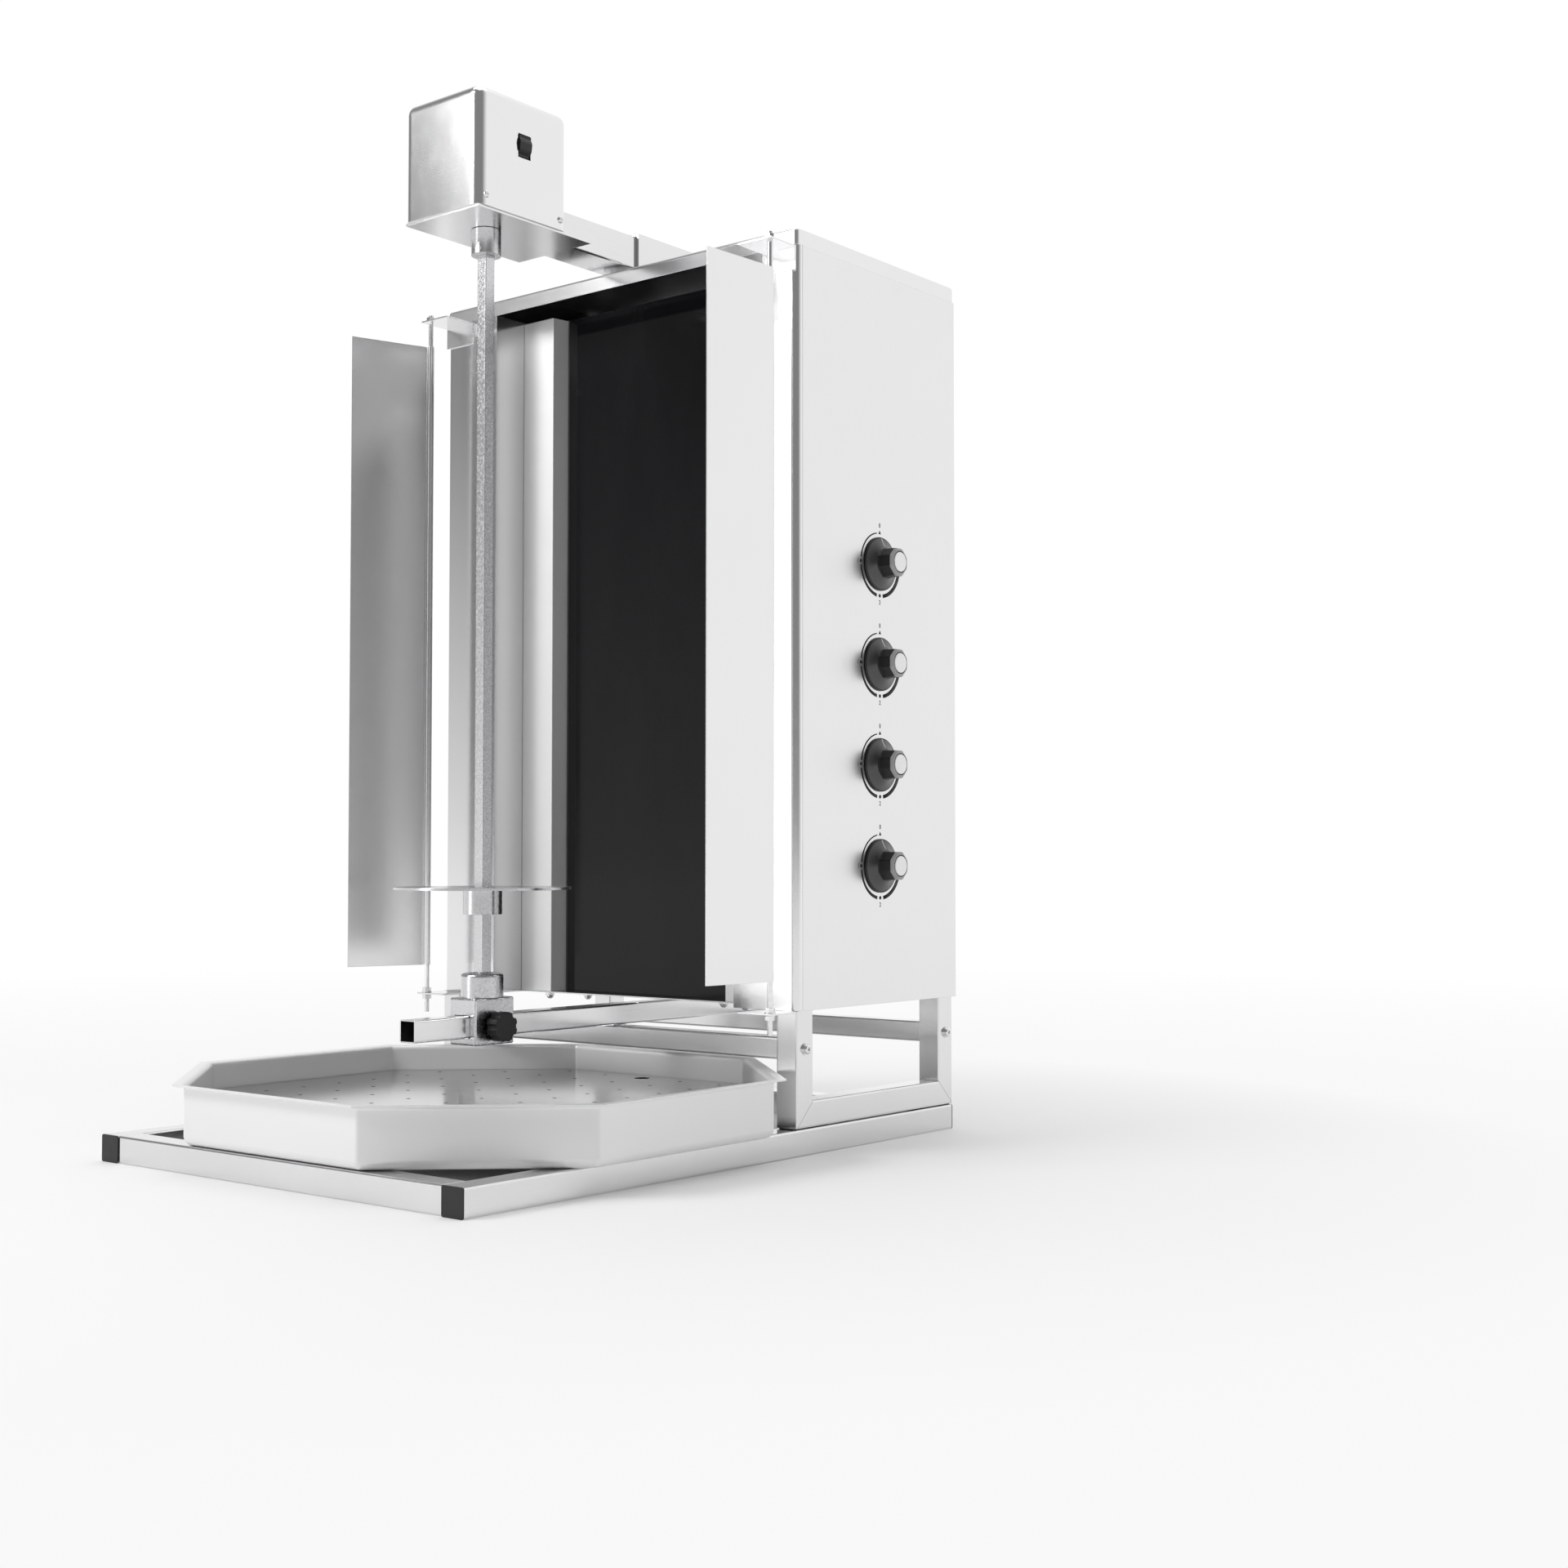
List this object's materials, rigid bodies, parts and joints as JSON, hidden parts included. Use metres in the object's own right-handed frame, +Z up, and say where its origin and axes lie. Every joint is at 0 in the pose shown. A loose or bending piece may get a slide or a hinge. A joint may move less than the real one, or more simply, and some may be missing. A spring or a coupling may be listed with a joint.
{
  "type": "vertical spit grill",
  "caption": "Commercial vertical rotisserie grill: ceramic-glass heater between steel columns, swinging side shields, driven spit on a sliding carriage and octagonal drip tray.",
  "frame": {"origin": "middle of the footprint, on the surface that the base rails stand on", "axes": "+Z up, -Y towards the user (the glass faces -Y), +X to the knob side"},
  "size_m": [0.658, 0.832, 1.195],
  "materials": {
    "frame_steel": "brushed tube, satin",
    "sheet_steel": "fine brushed stainless sheet",
    "tray_steel": "satin stainless sheet",
    "bright_steel": "bright turned steel",
    "machined_steel": "machined stainless",
    "black_plastic": "moulded, semi-gloss",
    "knob_cap": "satin disc",
    "black_rubber": "matt",
    "ceramic_glass": "black, polished",
    "zinc_steel": "zinc coated",
    "ceramic_fibre": "pressed mineral fibre",
    "white_ceramic": "plain",
    "ribbon": "resistance alloy",
    "motor_paint": "grey enamel"
  },
  "bodies": {
    "frame": {"arm_guide": "sheet_steel", "base_cross_front": "frame_steel", "base_cross_rear": "frame_steel", "base_rail_left": "frame_steel", "base_rail_right": "frame_steel", "cable_gland": "black_plastic", "centre_beam": "frame_steel", "ceramic_glass": "ceramic_glass", "column_floor_left": "sheet_steel", "column_floor_right": "sheet_steel", "column_shell_left": "sheet_steel", "column_shell_right": "sheet_steel", "dome_nuts": "bright_steel", "energy_regulators": "black_plastic", "frame_pads": "black_rubber", "frame_screws": "bright_steel", "front_cross_rail": "frame_steel", "glass_seal": "black_rubber", "glass_surround_left": "sheet_steel", "glass_surround_right": "sheet_steel", "heater_floor": "sheet_steel", "heater_housing": "zinc_steel", "heating_ribbons": "ribbon", "insulation_board": "ceramic_fibre", "radiant_heaters": "ceramic_fibre", "rail_end_plugs": "black_plastic", "rear_cover": "sheet_steel", "rear_cross_rail": "frame_steel", "rod_brackets": "sheet_steel", "rod_nuts": "bright_steel", "roof_cover": "sheet_steel", "shield_rods": "bright_steel", "side_frame_left": "frame_steel", "side_frame_right": "frame_steel", "side_panel_left": "sheet_steel", "side_panel_right": "sheet_steel", "terminal_block": "white_ceramic"},
    "knob_1": {"zone_knob_1": "black_plastic", "knob_cap_1": "knob_cap"},
    "knob_2": {"zone_knob_2": "black_plastic", "knob_cap_2": "knob_cap"},
    "knob_3": {"zone_knob_3": "black_plastic", "knob_cap_3": "knob_cap"},
    "knob_4": {"zone_knob_4": "black_plastic", "knob_cap_4": "knob_cap"},
    "shield_right": {"side_shield_right": "sheet_steel"},
    "shield_left": {"side_shield_left": "sheet_steel"},
    "tray": {"drip_tray": "tray_steel"},
    "insert": {"tray_insert": "tray_steel"},
    "carriage": {"spit_carriage": "machined_steel", "bearing_cup": "machined_steel"},
    "clamp": {"carriage_clamp": "black_plastic"},
    "spit": {"spit_shaft": "bright_steel", "meat_disc": "bright_steel"},
    "head": {"motor_arm": "sheet_steel", "motor_plate": "sheet_steel", "motor_cover": "sheet_steel", "gear_motor": "motor_paint"},
    "socket": {"drive_socket": "bright_steel"},
    "rocker": {"motor_rocker": "black_plastic"}
  },
  "joints": [
    {"name": "knob_1_turn", "type": "hinge", "parent": "frame", "child": "knob_1", "pos_m": [0.293, 0.256, 0.326], "axis": [1, 0, 0], "range_deg": [0, 270]},
    {"name": "knob_2_turn", "type": "hinge", "parent": "frame", "child": "knob_2", "pos_m": [0.293, 0.256, 0.446], "axis": [1, 0, 0], "range_deg": [0, 270]},
    {"name": "knob_3_turn", "type": "hinge", "parent": "frame", "child": "knob_3", "pos_m": [0.293, 0.256, 0.566], "axis": [1, 0, 0], "range_deg": [0, 270]},
    {"name": "knob_4_turn", "type": "hinge", "parent": "frame", "child": "knob_4", "pos_m": [0.293, 0.256, 0.686], "axis": [1, 0, 0], "range_deg": [0, 270]},
    {"name": "shield_right_swing", "type": "hinge", "parent": "frame", "child": "shield_right", "pos_m": [0.284, 0.059, 0.5], "axis": [0, 0, 1], "range_deg": [-50, 95]},
    {"name": "shield_left_swing", "type": "hinge", "parent": "frame", "child": "shield_left", "pos_m": [-0.284, 0.059, 0.5], "axis": [0, 0, 1], "range_deg": [-73, 71]},
    {"name": "tray_slide", "type": "slide", "parent": "frame", "child": "tray", "axis": [0, -1, 0], "range_m": [0, 0.4]},
    {"name": "insert_lift", "type": "slide", "parent": "tray", "child": "insert", "axis": [0, 0, 1], "range_m": [0, 0.034]},
    {"name": "arm_slide", "type": "slide", "parent": "frame", "child": "head", "axis": [0, 1, 0], "range_m": [-0.05, 0.09]},
    {"name": "carriage_slide", "type": "slide", "parent": "frame", "child": "carriage", "axis": [0, 1, 0], "range_m": [-0.05, 0.09]},
    {"name": "clamp_turn", "type": "hinge", "parent": "carriage", "child": "clamp", "pos_m": [0.03, -0.109, 0.146], "axis": [1, 0, 0], "range_deg": [0, 360]},
    {"name": "spit_spin", "type": "hinge", "parent": "carriage", "child": "spit", "pos_m": [0, -0.109, 0.3], "axis": [0, 0, 1], "continuous": true},
    {"name": "socket_spin", "type": "hinge", "parent": "head", "child": "socket", "pos_m": [0, -0.109, 1.04], "axis": [0, 0, 1], "continuous": true},
    {"name": "rocker_tip", "type": "hinge", "parent": "head", "child": "rocker", "pos_m": [0.062, -0.109, 1.14], "axis": [0, -1, 0], "range_deg": [0, 16]}
  ],
  "couplings": [
    {"joint": "carriage_slide", "follows": "arm_slide", "ratio": 1},
    {"joint": "socket_spin", "follows": "spit_spin", "ratio": 1}
  ]
}
